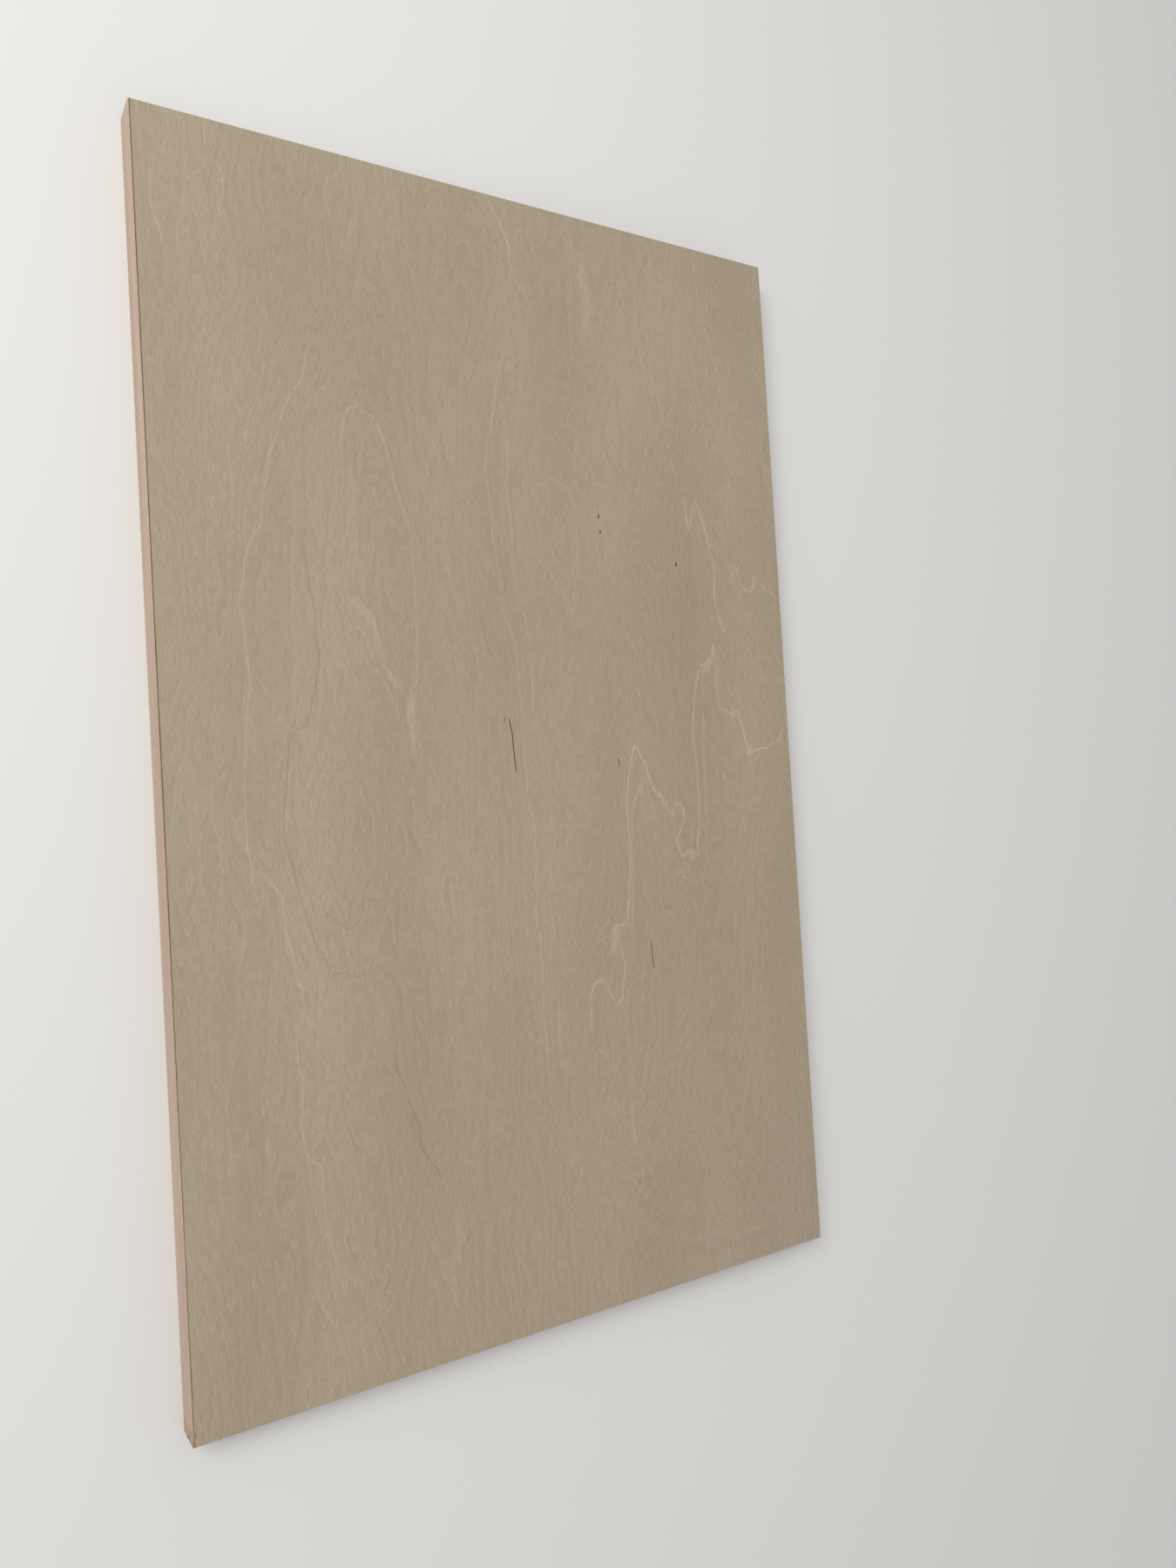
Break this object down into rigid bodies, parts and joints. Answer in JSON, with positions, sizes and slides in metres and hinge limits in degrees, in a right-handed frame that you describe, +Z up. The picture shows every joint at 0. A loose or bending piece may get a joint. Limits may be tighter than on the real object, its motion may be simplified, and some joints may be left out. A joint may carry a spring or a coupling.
{
  "type": "plywood sheet",
  "caption": "Thick birch-faced plywood sheet, cut square, with a thin solid beech band glued along its front long edge.",
  "frame": {"origin": "under the middle of the sheet, band included, on the floor that it lies on", "axes": "+X along the face grain and the long edges, +Y from the banded front edge to the back edge, +Z up through the plies"},
  "size_m": [1.2, 0.738, 0.036],
  "materials": {
    "birch_plywood": "fine-sanded rotary-cut birch veneer, raw, with stripes of plies on the cut edges",
    "beech_band": "fine-sanded straight-grained beech, raw"
  },
  "bodies": {
    "root": {"plywood_sheet": "birch_plywood", "edge_band": "beech_band"}
  },
  "joints": []
}
